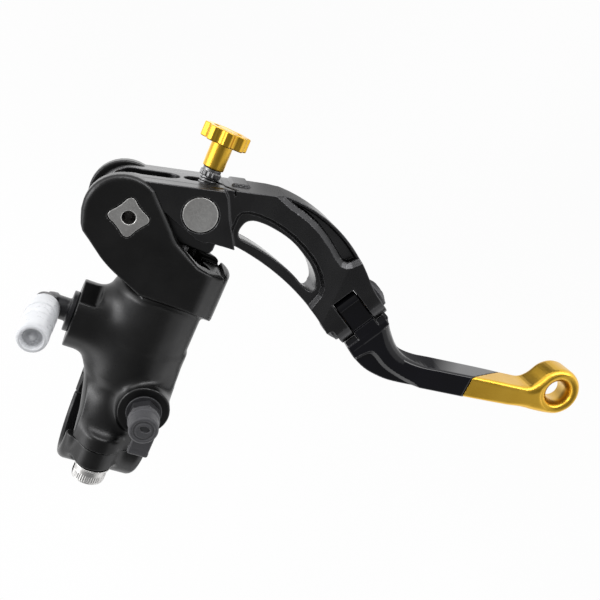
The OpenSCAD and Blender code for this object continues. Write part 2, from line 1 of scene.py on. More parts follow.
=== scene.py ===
"""Visual model of a radial brake master cylinder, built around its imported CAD.

Shapes are written as distance fields in millimetres and meshed on a fine grid, so that castings
blend and machined edges round off as the real ones do. The frame is the CAD's: the origin is the
centre of the handlebar clamp, +X outboard, +Y forward along the piston, +Z up.
"""
import json
import math

import bpy
import numpy as np
from mathutils import Matrix, Vector


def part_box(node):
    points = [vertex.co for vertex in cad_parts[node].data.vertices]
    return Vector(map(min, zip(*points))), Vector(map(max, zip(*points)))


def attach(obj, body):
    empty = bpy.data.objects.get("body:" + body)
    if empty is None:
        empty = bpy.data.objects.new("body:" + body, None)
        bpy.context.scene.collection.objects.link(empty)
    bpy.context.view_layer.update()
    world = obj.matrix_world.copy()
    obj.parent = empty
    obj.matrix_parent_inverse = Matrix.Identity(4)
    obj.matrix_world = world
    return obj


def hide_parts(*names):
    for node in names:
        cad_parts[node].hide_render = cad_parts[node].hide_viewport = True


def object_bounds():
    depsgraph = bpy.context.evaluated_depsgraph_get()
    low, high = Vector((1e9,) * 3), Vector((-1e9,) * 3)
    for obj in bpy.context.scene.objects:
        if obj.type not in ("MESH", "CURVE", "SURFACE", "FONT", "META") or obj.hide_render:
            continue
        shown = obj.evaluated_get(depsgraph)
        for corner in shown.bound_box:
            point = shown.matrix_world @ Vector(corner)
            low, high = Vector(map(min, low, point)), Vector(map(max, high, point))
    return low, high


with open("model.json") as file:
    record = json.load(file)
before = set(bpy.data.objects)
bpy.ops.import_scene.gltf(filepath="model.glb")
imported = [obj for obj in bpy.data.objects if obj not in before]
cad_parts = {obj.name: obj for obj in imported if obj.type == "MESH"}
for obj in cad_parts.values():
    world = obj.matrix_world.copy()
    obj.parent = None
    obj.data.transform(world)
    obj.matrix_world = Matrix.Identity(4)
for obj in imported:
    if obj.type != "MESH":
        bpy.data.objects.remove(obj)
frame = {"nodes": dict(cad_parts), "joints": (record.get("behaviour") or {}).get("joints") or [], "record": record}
cad_low, cad_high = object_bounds()
MM = 0.001

# ---- distance fields ----


def smin(a, b, k):
    """Smooth union of two fields, with a fillet of about k."""
    h = np.maximum(k - np.abs(a - b), 0) / k
    return np.minimum(a, b) - h * h * k * 0.25


def smax(a, b, k):
    """Smooth intersection of two fields."""
    return -smin(-a, -b, k)


def cut(a, b, k=0.4):
    """Field a with field b taken away, and the edge rounded by about k."""
    return smax(a, -b, k)


def edge(d, e, r):
    """Intersection of two fields that meet squarely, with the edge rounded to radius r."""
    u, v = np.maximum(d + r, 0), np.maximum(e + r, 0)
    return np.minimum(np.maximum(d, e) + r, 0) + np.sqrt(u * u + v * v) - r


def bevel(d, e, c):
    """Intersection of two fields that meet squarely, with a flat chamfer of width c."""
    return np.maximum(np.maximum(d, e), (d + e + c) * 0.70711)


def span(c, low, high):
    """Field of a slab between two levels of one coordinate."""
    return np.abs(c - (low + high) / 2) - (high - low) / 2


def disc(a, b, c, r, low, high, round_r=0.3):
    """Round bar along coordinate c, between two levels."""
    return edge(np.hypot(a, b) - r, span(c, low, high), round_r)


def brick(x, y, z, low, high, r=0.5):
    """Box with rounded edges."""
    q = [np.abs(c - (lo + hi) / 2) - (hi - lo) / 2 + r for c, lo, hi in zip((x, y, z), low, high)]
    out = np.sqrt(sum(np.maximum(c, 0) ** 2 for c in q))
    return out + np.minimum(np.maximum(np.maximum(q[0], q[1]), q[2]), 0) - r


def outline(x, y, points):
    """Signed distance to a closed outline."""
    best = np.full(x.shape, 1e9, np.float32)
    inside = np.zeros(x.shape, bool)
    for (ax, ay), (bx, by) in zip(points, points[1:] + points[:1]):
        ex, ey = bx - ax, by - ay
        wx, wy = x - ax, y - ay
        t = np.clip((wx * ex + wy * ey) / (ex * ex + ey * ey), 0, 1)
        dx, dy = wx - ex * t, wy - ey * t
        best = np.minimum(best, dx * dx + dy * dy)
        if ay != by:
            inside ^= ((ay > y) != (by > y)) & (x < ex * (y - ay) / (by - ay) + ax)
    d = np.sqrt(best)
    return np.where(inside, -d, d)


def smooth(points, steps=4):
    """Closed outline through the points, rounded between them."""
    out, n = [], len(points)
    p = [np.array(q, float) for q in points]
    for i in range(n):
        a, b, c, d = p[i - 1], p[i], p[(i + 1) % n], p[(i + 2) % n]
        for j in range(steps):
            t = j / steps
            q = 0.5 * (2 * b + (c - a) * t + (2 * a - 5 * b + 4 * c - d) * t * t
                       + (3 * b - a - 3 * c + d) * t * t * t)
            out.append((float(q[0]), float(q[1])))
    return out


def arc(cx, cy, r, start, end, n):
    """Points along an arc, angles in degrees."""
    return [(cx + r * math.cos(math.radians(start + (end - start) * i / n)),
             cy + r * math.sin(math.radians(start + (end - start) * i / n))) for i in range(n + 1)]


def ramp(v, low, high):
    """Smooth step from 0 at low to 1 at high."""
    t = np.clip((v - low) / (high - low), 0, 1)
    return t * t * (3 - 2 * t)


def turned(a, b, degrees):
    """Two coordinates seen from a frame turned by an angle."""
    c, s = math.cos(math.radians(degrees)), math.sin(math.radians(degrees))
    return a * c + b * s, b * c - a * s


def hexagon(a, b, half_flat):
    """Distance to a regular hexagon given half its width across flats."""
    d = np.abs(a)
    for angle in (60, 120):
        u, _ = turned(a, b, angle)
        d = np.maximum(d, np.abs(u))
    return d - half_flat


def thread(along, a, b, pitch, depth):
    """Height of a screw thread's ridge around an axis, from minus half to plus half of depth."""
    turn = np.arctan2(b, a) / (2 * np.pi)
    return depth * (np.abs(((along / pitch + turn) % 1.0) - 0.5) * 2 - 0.5)


def long_hole(along, across, middle, half, r):
    """Field of a slot with round ends."""
    return np.hypot(np.maximum(np.abs(along - middle) - half, 0), across) - r


# ---- meshing ----

BLOCK = 8            # grid cells along one side of a block
BATCH = 500          # blocks sampled at once


def surface(name, field, low, high, cell):
    """Meshes the zero surface of a field of (x, y, z) in millimetres inside a box."""
    low = np.array(low, np.float32) - 2 * cell
    count = np.ceil((np.array(high) + 2 * cell - low) / cell / BLOCK).astype(int)
    size = count * BLOCK

    def sample(index):
        p = low + index * np.float32(cell)
        return field(p[:, 0], p[:, 1], p[:, 2])

    # only blocks near the surface are sampled in full
    blocks = np.stack(np.meshgrid(*[np.arange(c) for c in count], indexing="ij"), -1).reshape(-1, 3)
    middle = sample(blocks * BLOCK + (BLOCK - 1) / 2)
    near = np.abs(middle) < cell * (BLOCK * 0.95 + 2)
    sign = np.where(middle < 0, -1, 1).astype(np.float32).reshape(count)
    values = np.repeat(np.repeat(np.repeat(sign, BLOCK, 0), BLOCK, 1), BLOCK, 2)
    inner = np.stack(np.meshgrid(*[np.arange(BLOCK)] * 3, indexing="ij"), -1).reshape(-1, 3)
    chosen = blocks[near]
    for first in range(0, len(chosen), BATCH):
        index = (chosen[first:first + BATCH, None] * BLOCK + inner[None]).reshape(-1, 3)
        values[index[:, 0], index[:, 1], index[:, 2]] = sample(index)

    # one point in each cell that the surface crosses, at the mean of its edge crossings
    solid = values < 0
    corners = [(i, j, k) for i in (0, 1) for j in (0, 1) for k in (0, 1)]
    n = size - 1

    def corner(array, c):
        return array[c[0]:c[0] + n[0], c[1]:c[1] + n[1], c[2]:c[2] + n[2]]

    filled = sum(corner(solid, c).astype(np.int8) for c in corners)
    cells = np.argwhere((filled > 0) & (filled < 8))
    got = np.stack([values[tuple((cells + c).T)] for c in corners], 1)
    total = np.zeros((len(cells), 3))
    hits = np.zeros((len(cells), 1))
    for i, a in enumerate(corners):
        for j, b in enumerate(corners):
            if j <= i or sum(abs(u - v) for u, v in zip(a, b)) != 1:
                continue
            va, vb = got[:, i], got[:, j]
            crossing = (va < 0) != (vb < 0)
            t = np.where(crossing, va / np.where(crossing, va - vb, 1), 0)[:, None]
            total += np.where(crossing[:, None], np.array(a) + t * (np.array(b) - np.array(a)), 0)
            hits += crossing[:, None]
    points = low + (cells + total / np.maximum(hits, 1)) * cell
    number = np.full(tuple(n), -1, np.int32)
    number[tuple(cells.T)] = np.arange(len(cells))
    # one quad around each grid edge that crosses the surface
    quads = []
    for axis in range(3):
        step = np.eye(3, dtype=int)[axis]
        u, v = np.eye(3, dtype=int)[(axis + 1) % 3], np.eye(3, dtype=int)[(axis + 2) % 3]
        first = solid[tuple(slice(0, s - d) for s, d in zip(size, step))]
        second = solid[tuple(slice(d, s) for s, d in zip(size, step))]
        at = np.argwhere(first != second)
        at = at[((at > 0) | (step == 1)).all(1) & (at < n).all(1)]
        ring = np.stack([number[tuple((at - a).T)] for a in (u * 0, u, u + v, v)], 1)
        flip = solid[tuple(at.T)]
        ring[flip] = ring[flip][:, ::-1]
        quads.append(ring[(ring >= 0).all(1)])
    quads = np.concatenate(quads)[:, ::-1]

    def slope(p):
        h = np.float32(0.02)
        base = [field(*(p + h * d * np.eye(3)[i]).astype(np.float32).T)
                for i in range(3) for d in (1, -1)]
        return np.stack([base[0] - base[1], base[2] - base[3], base[4] - base[5]], 1) / (2 * h)

    # the points are then pulled onto the surface, and its slope gives the normals
    for _ in range(3):
        value = field(*points.astype(np.float32).T)[:, None]
        g = slope(points)
        move = value * g / np.maximum((g * g).sum(1, keepdims=True), 0.3)
        points = points - np.clip(move, -0.4 * cell, 0.4 * cell)

    mesh = bpy.data.meshes.new(name)
    mesh.vertices.add(len(points))
    mesh.vertices.foreach_set("co", (points * MM).astype(np.float32).ravel())
    mesh.loops.add(len(quads) * 4)
    mesh.loops.foreach_set("vertex_index", quads.astype(np.int32).ravel())
    mesh.polygons.add(len(quads))
    mesh.polygons.foreach_set("loop_start", np.arange(len(quads), dtype=np.int32) * 4)
    mesh.update(calc_edges=True)
    mesh.validate()
    mesh.polygons.foreach_set("use_smooth", [True] * len(mesh.polygons))
    g = slope(points)
    g /= np.maximum(np.linalg.norm(g, axis=1, keepdims=True), 1e-6)
    mesh.normals_split_custom_set_from_vertices(g.astype(np.float32).tolist())
    piece = bpy.data.objects.new(name, mesh)
    bpy.context.scene.collection.objects.link(piece)
    return piece


def place(piece, body, slot, material, *nodes):
    """Gives a piece its body and its material, and hides the CAD nodes it stands for."""
    piece.data.materials.clear()
    piece.data.materials.append(material)
    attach(piece, body)
    if nodes:
        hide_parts(*nodes)
    return piece


# ---- materials ----


class Nodes:
    """Small helper that builds a node tree in metres, in the object's own frame."""

    def __init__(self, name):
        self.material = bpy.data.materials.new(name)
        self.material.use_nodes = True
        self.tree = self.material.node_tree
        self.shader = self.tree.nodes["Principled BSDF"]
        self.coord = self.tree.nodes.new("ShaderNodeTexCoord").outputs["Object"]

    def add(self, kind, inputs=None, **settings):
        node = self.tree.nodes.new(kind)
        for key, value in settings.items():
            setattr(node, key, value)
        for key, value in (inputs or {}).items():
            self.link(value, node.inputs[key])
        return node

    def link(self, value, socket):
        if isinstance(value, bpy.types.NodeSocket):
            self.tree.links.new(value, socket)
        else:
            socket.default_value = value

    def noise(self, scale, detail=3.0, stretch=(1, 1, 1)):
        where = self.add("ShaderNodeMapping", {"Vector": self.coord, "Scale": stretch})
        return self.add("ShaderNodeTexNoise", {"Vector": where.outputs[0], "Scale": scale,
                                               "Detail": detail}).outputs["Fac"]

    def spread(self, value, low, high, start=0.3, end=0.7):
        return self.add("ShaderNodeMapRange", {"Value": value, "From Min": start, "From Max": end,
                                               "To Min": low, "To Max": high}).outputs[0]

    def mix(self, factor, a, b):
        node = self.add("ShaderNodeMix", data_type="RGBA")
        self.link(factor, node.inputs[0])
        self.link(a, node.inputs[6])
        self.link(b, node.inputs[7])
        return node.outputs[2]

    def maths(self, operation, a, b):
        return self.add("ShaderNodeMath", {0: a, 1: b}, operation=operation).outputs[0]

    def distance(self, point):
        inputs = {0: self.coord, 1: point}
        return self.add("ShaderNodeVectorMath", inputs, operation="DISTANCE").outputs["Value"]

    def bump(self, height, distance, strength):
        inputs = {"Height": height, "Distance": distance, "Strength": strength}
        return self.add("ShaderNodeBump", inputs).outputs[0]

    def set(self, **values):
        for key, value in values.items():
            self.link(value, self.shader.inputs[key.replace("_", " ")])
        return self.material


def metal_finish(name, dark, light, rough, grain, grain_size, metallic=1.0, ior=1.5, wear=None,
                 wear_amount=0.3, coat=0.0, edge_tint=1.0):
    """Machined or cast metal: cloudy colour, fine grain, faint handling marks and worn edges."""
    n = Nodes(name)
    cloud = n.noise(90, 4)
    fine = n.noise(grain_size, 2)
    colour = n.mix(n.spread(cloud, 0, 1), (*dark, 1), (*light, 1))
    if wear:
        point = n.add("ShaderNodeNewGeometry").outputs["Pointiness"]
        rub = n.spread(point, 0, wear_amount, 0.53, 0.62)
        colour = n.mix(n.maths("MULTIPLY", rub, n.spread(n.noise(400, 3), 0.2, 1)), colour, (*wear, 1))
    smear = n.noise(45, 3, (1, 0.35, 1))
    roughness = n.maths("ADD", n.spread(fine, *rough, 0.25, 0.75), n.spread(smear, -0.04, 0.04))
    return n.set(Base_Color=colour, Metallic=metallic, Roughness=roughness, IOR=ior, Coat_Weight=coat,
                 Specular_Tint=(edge_tint, edge_tint, edge_tint, 1), Coat_Roughness=0.05,
                 Normal=n.bump(fine, grain * MM, 0.6))


CAST_BLACK = metal_finish("cast_black_anodised", (0.034, 0.034, 0.0345), (0.048, 0.048, 0.0485),
                          (0.28, 0.38), 0.016, 2600, wear=(0.09, 0.09, 0.092), wear_amount=0.5,
                          edge_tint=0.8)
MILLED_BLACK = metal_finish("milled_black_anodised", (0.050, 0.050, 0.052), (0.066, 0.066, 0.068),
                            (0.24, 0.34), 0.008, 3500, wear=(0.14, 0.14, 0.145), wear_amount=0.6,
                            edge_tint=0.8)
GLOSS_BLACK = metal_finish("polished_black_anodised", (0.0015, 0.0015, 0.003), (0.003, 0.003, 0.0055),
                           (0.07, 0.12), 0.002, 2500, metallic=0.0, ior=1.3, coat=0.3)
GOLD = metal_finish("gold_anodised", (0.62, 0.36, 0.035), (0.72, 0.44, 0.055), (0.27, 0.36),
                    0.006, 3000, wear=(0.85, 0.62, 0.2))
STEEL = metal_finish("machined_steel", (0.50, 0.49, 0.48), (0.62, 0.62, 0.61), (0.28, 0.42),
                     0.012, 1800, wear=(0.8, 0.8, 0.8))
ZINC_STEEL = metal_finish("zinc_plated_steel", (0.17, 0.17, 0.175), (0.26, 0.26, 0.265), (0.30, 0.42),
                          0.010, 2200, wear=(0.45, 0.45, 0.45))
DARK_STEEL = metal_finish("black_oxide_steel", (0.035, 0.035, 0.038), (0.06, 0.06, 0.065), (0.35, 0.5),
                          0.015, 2200, metallic=0.6, ior=1.6, wear=(0.2, 0.2, 0.2), wear_amount=0.4)
BRONZE = metal_finish("sintered_bronze", (0.38, 0.24, 0.11), (0.50, 0.34, 0.17), (0.4, 0.6), 0.03, 3000)
ALUMINIUM = metal_finish("clear_aluminium", (0.60, 0.61, 0.62), (0.72, 0.72, 0.73), (0.3, 0.45),
                         0.01, 2400)


def plain_finish(name, dark, light, rough, grain, grain_size, ior=1.5, subsurface=0.0, sheen=0.0):
    """Moulded plastic or rubber: cloudy colour and a fine moulded grain."""
    n = Nodes(name)
    colour = n.mix(n.spread(n.noise(120, 4), 0, 1), (*dark, 1), (*light, 1))
    fine = n.noise(grain_size, 3)
    return n.set(Base_Color=colour, Roughness=n.spread(fine, *rough), IOR=ior,
                 Subsurface_Weight=subsurface, Subsurface_Radius=(0.004, 0.004, 0.004),
                 Sheen_Weight=sheen, Normal=n.bump(fine, grain * MM, 0.7))


RUBBER = plain_finish("moulded_rubber", (0.012, 0.012, 0.012), (0.022, 0.022, 0.022), (0.6, 0.8),
                      0.03, 2500)
RUBBER_CAP = plain_finish("grey_rubber", (0.030, 0.030, 0.034), (0.045, 0.045, 0.050), (0.5, 0.68),
                          0.04, 1800, sheen=0.15)
BLACK_PLASTIC = plain_finish("black_plastic", (0.012, 0.012, 0.014), (0.02, 0.02, 0.023), (0.3, 0.45),
                             0.02, 1500)
WHITE_PLASTIC = plain_finish("translucent_plastic", (0.50, 0.51, 0.53), (0.60, 0.61, 0.63), (0.25, 0.38),
                             0.01, 900, ior=1.45, subsurface=0.3)

FINISHES = {
    "black_anodised": CAST_BLACK, "black_anodised_lever": MILLED_BLACK, "gloss_black": GLOSS_BLACK,
    "gold_anodised": GOLD, "plain_aluminium": ALUMINIUM, "steel": STEEL, "dark_steel": DARK_STEEL,
    "bronze": BRONZE, "rubber": RUBBER, "rubber_cap": RUBBER_CAP, "black_plastic": BLACK_PLASTIC,
    "white_plastic": WHITE_PLASTIC,
}
for part in frame["record"]["subparts"]:
    obj = frame["nodes"][part["node"]]
    obj.data.materials.clear()
    obj.data.materials.append(FINISHES[part["material_slot"]])

# ---- shared positions, in millimetres, from the CAD ----

JOINTS = {j["name"]: j for j in frame["joints"]}
PIVOT = [c / MM for c in JOINTS["lever_pull"]["pos_m"]]
FOLD = [c / MM for c in JOINTS["arm_fold"]["pos_m"]]
SWIVEL = [c / MM for c in JOINTS["elbow_swivel"]["pos_m"]]
BLEED = [c / MM for c in JOINTS["bleed_turn"]["pos_m"]]

BAR_R = frame["record"]["mounts"][0]["dims"]["r_mm"]
EAR_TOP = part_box("cross_pin")[1][2] / MM + 1.2     # height of the ears' outer faces
EAR_GAP = 8.75                                     # half the gap between the ears
BARREL_R, COLLAR_R, BORE_R = 13.85, 16.6, 9.5
CLAMP, CLAMP_R = (-12.0, 12.3), 14.6               # ends of the clamp along the bar, and its radius
SPLIT = 0.35                                       # half the gap between the clamp's halves
BOLT_X, BOLT_Z = -1.7, 14.8                        # clamp bolts
BOSS_X, BOSS_Z, BOSS_R = -2.0, 14.2, 6.0           # bosses that the bolts go through
SEAT_Y, SHIM, HEAD = -6.6, 0.6, 4.4                # bolt seat, washer's thickness, bolt head's height
PIN_X, PIN_Y, PIN_R = 17.5, 7.5, 5.0               # cross pin, from the lever pivot
PULL = 12                                          # full pull of the lever, in degrees

# ---- body ----

# outlines are in millimetres from the lever pivot
EAR = ([(-3.3, -13.0), (-7.8, -9.4), (-9.9, -7.9), (-10.9, -6.4), (-11.5, -4.7), (-12.1, -2.5),
        (-12.3, 0.0)]
       + arc(-1.5, 0, 10.8, 176, 60, 12)
       + [(12.3, 0.6), (13.3, -0.6), (14.6, -1.9), (22.5, -6.4), (29.0, -8.0), (36.0, -9.0),
          (36.0, -24.0), (12.0, -24.0), (8.0, -19.4), (4.9, -17.9), (3.2, -17.2), (0.3, -15.5)])


def lobe_points(count=48):
    """Outline of a four-lobed plate."""
    points = []
    for i in range(count):
        a = 2 * math.pi * i / count
        lobe = 4 * (a - math.pi / 4)
        r = 4.85 + 0.75 * math.cos(lobe) + 0.12 * math.cos(2 * lobe)
        points.append((r * math.cos(a), r * math.sin(a)))
    return points


LOBES = lobe_points()
LOBES_TURN = 57


def lobed(x, y, grow=0.0):
    """Four-lobed plate of the pivot pin's head."""
    return outline(*turned(x, y, LOBES_TURN), LOBES) + 0.18 - grow


def clamp_ring(x, y, z):
    """Ring of the clamp, with a boss for each bolt."""
    ring = edge(np.hypot(y, z) - CLAMP_R, span(x, *CLAMP), 2.6)
    # the body's half starts further in on the near side
    start = CLAMP[0] + 2.8 * ramp(z, -8, 2) * (y > 0)
    ring = smax(ring, start - x, 0.5)
    boss = disc(x - BOSS_X, np.abs(z) - BOSS_Z, y, BOSS_R, SEAT_Y, 4, 0.8)
    return smin(ring, boss, 3.5)


def cut_bar(d, x, y, z):
    """Takes the handlebar's bore out, with a small lead at each end."""
    lead = 0.9 - np.minimum(np.abs(x - CLAMP[0]), np.abs(x - CLAMP[1]))
    return cut(d, np.hypot(y, z) - BAR_R - np.maximum(lead, 0), 0.25)


def body_field(x, y, z):
    px, py = x - PIVOT[0], y - PIVOT[1]
    r, az = np.hypot(x, z), np.abs(z)
    # barrel and the collar that carries the ears; the collar's lower edge rises towards the faces
    barrel = edge(r - BARREL_R, span(y, 16, 47), 3.0)
    lower = np.maximum(42.1 + 0.393 * az, 44.2 - 0.45 * x)
    collar = edge(r - COLLAR_R, y - 59.6, 1.3)
    collar = bevel(collar, (lower - y) * 0.93, 0.5)
    side = np.hypot(np.maximum(x, 0), z) - COLLAR_R
    flank = smax(outline(px, py, EAR), np.maximum(side, (lower - 0.3 - y) * 0.93), 0.6)
    ears = edge(flank, az - EAR_TOP, 0.45 + 1.35 * ramp(py, -10, -4))
    head = smin(smax(collar, az - EAR_TOP, 1.2), ears, 0.8)
    # the gap between the ears has a stepped floor
    gap = [brick(px, py, z, (start, floor_y, -EAR_GAP), (end, 40, EAR_GAP), 0.8)
           for start, end, floor_y in ((-30, 26.5, -12), (10, 31.8, -9.7), (10, 60, -7.4))]
    head = cut(head, np.minimum(np.minimum(gap[0], gap[1]), gap[2]), 0.9)
    # the neck narrows from the barrel's circle to the clamp's two bolt bosses
    t = np.clip((19 - y) / 19, 0, 1.2)
    column_r = BARREL_R - (BARREL_R - BOSS_R) * t
    column = (np.hypot(x - BOSS_X * t, az - BOSS_Z * t ** 1.35) - column_r) * 0.9
    neck = brick(x, y, z, (-9.0, 6, -9.0), (13.0, 26, 9.0), 4.5)
    neck = smin(neck, smax(column, y - 30, 1.0), 2.5)
    d = smin(barrel, neck, 2.0)
    ring = smax(clamp_ring(x, y, z), SPLIT - y, 0.3)
    d = smin(d, ring, 4.0)
    # bleed boss above, outlet boss below, each in a shallow spot face
    bx, by = x - BLEED[0], y - BLEED[1]
    for sign, top in ((1, BLEED[2]), (-1, 18)):
        spot = disc(bx, by, sign * z, 7.9, top, 40, 0.2)
        d = cut(d, spot, 1.2)
        d = smin(d, disc(bx, by, sign * z, 7.5, 0, top, 0.4), 3.2)
    # inlet boss, with one flat side
    inlet = disc(y - SWIVEL[1], z, x, 10.3, SWIVEL[0], 0, 0.35)
    u, _ = turned(y - SWIVEL[1], z, 27)
    flat = smax(9.45 - u, span(x, -30, SWIVEL[0] + 5.7), 1.6)
    d = smin(d, inlet, 4.6)
    d = cut(d, flat, 0.25)
    d = smin(d, head, 1.0)
    # bar, split face and bores
    d = cut_bar(d, x, y, z)
    d = smax(d, SPLIT - y, 0.25)
    d = cut(d, disc(x, z, y, BORE_R, 14.5, 80, 0.2), 0.25)
    d = cut(d, disc(x, z, y, BORE_R + 1.6, 51.6, 80, 0.2), 0.4)
    d = cut(d, disc(px, py, z, 4.125, -30, 30), 0.3)
    d = cut(d, edge(lobed(px, py, 0.09), 12.0 - z, 0.05), 0.1)
    d = cut(d, disc(px, py, z, 5.6, -20, -11.4, 0.1), 0.3)
    # outlet port with its thread
    port_r = 4.5 + thread(z, bx, by, 1.0, 0.28) + np.maximum(-16.9 - z, 0)
    port = np.maximum(np.hypot(bx, by) - port_r, z + 9)
    d = cut(d, port, 0.15)
    d = cut(d, disc(bx, by, z, 3.0, 9.5, 30), 0.2)
    d = cut(d, disc(y - SWIVEL[1], z, x, 5.05, -30, -13.6), 0.3)
    return d


body = surface("body_casting", body_field, (-31, 0, -23), (20, 79, 23), 0.44)
place(body, "cylinder", "black_anodised", CAST_BLACK, "body")


def cap_field(x, y, z):
    d = clamp_ring(x, y, z)
    for side in (-1, 1):
        seat = disc(x - BOSS_X, z - side * BOSS_Z, y, BOSS_R + 0.3, -40, SEAT_Y, 0.4)
        d = cut(d, seat, 0.6)
        d = cut(d, disc(x - BOLT_X, z - side * BOLT_Z, y, 3.2, -40, 10), 0.2)
    d = smax(d, y + SPLIT, 0.3)
    return cut_bar(d, x, y, z)


cap = surface("clamp_cap_casting", cap_field, (-14, -18, -23), (15, 0, 23), 0.42)
place(cap, "cylinder", "black_anodised", CAST_BLACK, "clamp_cap")

# ---- lever base ----

BLOCK_OUT = [(-2.65, 9.74), (21.3, 16.07), (22.8, 14.6), (24.2, 11.9), (25.4, 9.4), (27.0, 6.8),
             (28.4, 4.6), (30.1, 1.7), (22.5, 1.1), (21.6, 0.5), (18.0, 0.5), (17.4, 1.1), (12.4, 1.1),
             (9.2, -4.4)]
NOSE = [(6.0, -4.4), (14.0, -3.4), (23.6, -3.4), (24.9, -2.9), (25.4, -1.8), (25.4, 2.0), (12.0, 3.0)]
SLOPE = 14.8                                       # slope of the block's top face, in degrees
FORK = (0.5, math.sqrt(0.75))                      # direction of the fold axis
FORK_HALF, FORK_ROUND = 8.8, 7.3                   # half the fork's width, radius of its round ends
FORK_GAP = 4.1                                     # half the gap between its tines
ARM_CLEAR = 7.6                                    # radius that the folding arm keeps clear of


def on_top(px, py):
    """Coordinates along the block's sloping top face and above it."""
    return turned(px - BLOCK_OUT[0][0], py - BLOCK_OUT[0][1], SLOPE)


def knuckle(px, py):
    """Coordinates along the fold axis and along the lever, from the hinge."""
    fx, fy = px - (FOLD[0] - PIVOT[0]), py - (FOLD[1] - PIVOT[1])
    return fx * FORK[0] + fy * FORK[1], fx * FORK[1] - fy * FORK[0]


WINDOW = smooth([(30.3, 5.6), (30.3, 7.4), (31.1, 9.4), (32.9, 10.5), (35.8, 10.8), (39.6, 10.5),
                 (43.8, 9.7), (47.6, 8.4), (51.2, 6.5), (54.5, 4.5), (56.8, 2.4), (58.4, 0.4),
                 (59.3, -1.6), (58.8, -3.1), (57.4, -3.4), (55.0, -2.5), (51.5, -0.7), (47.5, 0.9),
                 (43.1, 2.2), (38.8, 3.2), (34.8, 3.8), (31.6, 4.2)], 3)
# the face inside this line is lower, around the window
RECESS_LINE = [(27.4, -6.0), (27.4, 10.2), (28.2, 11.9), (30.4, 13.0), (34.0, 13.4), (37.8, 13.2),
               (41.8, 12.5), (46.1, 11.2), (50.3, 9.4), (54.0, 7.4), (56.8, 5.4), (59.2, 3.0),
               (61.5, -0.2), (61.9, -3.4), (60.2, -9.0), (52.0, -12.0), (40.0, -12.0)]
# and so is the strip inside this one, along the outer edge
RIM_LINE = [(33.2, 22.5), (35.2, 20.0), (38.6, 18.7), (41.8, 17.7), (46.4, 16.6), (50.6, 15.1),
            (54.6, 13.0), (58.0, 10.8), (61.0, 8.6), (63.2, 7.4), (65.2, 7.3), (67.0, 8.3),
            (68.8, 10.2), (80.0, 24.0), (60.0, 40.0), (33.0, 40.0)]


def lever_field(x, y, z):
    px, py = x - PIVOT[0], y - PIVOT[1]
    az = np.abs(z)
    a, b = knuckle(px, py)
    hub = edge(np.hypot(px, py) - 10.3, az - 8, 0.4)
    block = outline(px, py, BLOCK_OUT)
    inner = edge(np.minimum(block, outline(px, py, NOSE)), az - 8, 0.6)
    # the full-height part keeps clear of the ears through the whole pull
    slant = (px - 12) * 0.530 + (py - 0.4) * 0.848
    swept_x, swept_y = turned(px, py, PULL)
    slant_pulled = (swept_x - 12) * 0.530 + (swept_y - 0.4) * 0.848
    foot = (swept_x - 13.6) * 0.497 + (swept_y + 1.3) * 0.868
    keep = np.minimum(np.minimum(slant, slant_pulled), np.where(px > 11, foot, 99)) - 0.35
    full = edge(smax(block, -keep, 0.3), az - 13, 0.35)
    # curved lever, its height falling from the block to the knuckle
    top = 9.5 - 2.5 * np.clip((px - 30) / 36, 0, 1)
    outer = np.hypot(px - 40.4, py + 26.3) - 47
    inner_edge = 80.4 - np.hypot(px - 20, py + 78)
    along, up = on_top(px, py)
    band = np.maximum(np.maximum(outer, inner_edge), np.maximum(18 - px, up))
    band = smax(band, b + 1.0, 0.2)
    plan = smin(band, np.maximum(np.abs(a) - FORK_HALF, np.maximum(b - 1.2, -13 - b)), 1.6)
    recess = -outline(px, py, RECESS_LINE)
    rim = -outline(px, py, RIM_LINE)
    top = top - np.clip(recess, 0, 1.1) * 1.5 - np.clip(rim, 0, 1.5)
    top = top - np.clip(np.minimum(rim - 1.6, -0.8 - outer) * 4, 0, 1.9)
    curved = edge(plan, az - top, 0.35)
    tine_end = np.maximum(np.hypot(b, z) - FORK_ROUND, -b - 4)
    curved = smin(curved, edge(np.abs(a) - FORK_HALF, tine_end, 0.4), 0.5)
    d = smin(np.minimum(hub, inner), smin(full, curved, 1.0), 0.3)
    # window, its lower side leaning back towards the far face, then the holes
    skew = 0.12 * np.clip(5 - z, 0, 11)
    leaning = outline(px, py + skew * ramp(-py, -8, -3), WINDOW)
    d = cut(d, np.minimum(outline(px, py, WINDOW), leaning), 0.5)
    d = cut(d, np.hypot(px, py) - 6, 0.3)
    d = cut(d, np.hypot(px - PIN_X, py - PIN_Y) - PIN_R - 0.12, 0.25)
    d = cut(d, np.maximum(np.abs(a) - FORK_GAP, -8.0 - b), 0.35)
    d = cut(d, np.hypot(b, z) - 2.55, 0.2)
    # pocket, screw slot and saw cut in the top face
    d = cut(d, np.maximum(long_hole(along, z, 4.0, 5.2, 3.8), -1.7 - up), 0.35)
    d = cut(d, np.maximum(long_hole(along, z, 19.1, 1.9, 3.05), -9 - up), 0.3)
    d = cut(d, np.maximum(long_hole(px, z, PIN_X + 0.9, 0.9, 3.05), py - PIN_Y), 0.3)
    cx, cz = turned(along - 22.4, z - 1.0, 52)
    saw = np.maximum(np.maximum(np.abs(cz) - 0.8, -1.6 - up), np.maximum(-cx, cx - 10.0))
    d = cut(d, saw, 0.2)
    pad = brick(along, up, z, (27.6, -3.0, -8.9), (33.0, 0.75, 2.6), 0.7)
    return smin(d, pad, 0.3)


lever = surface("lever_base_milled", lever_field, (-29, 46, -13.2), (69, 90.5, 13.2), 0.32)
place(lever, "lever", "black_anodised_lever", MILLED_BLACK, "lever_base")

# ---- folding arm and tip ----

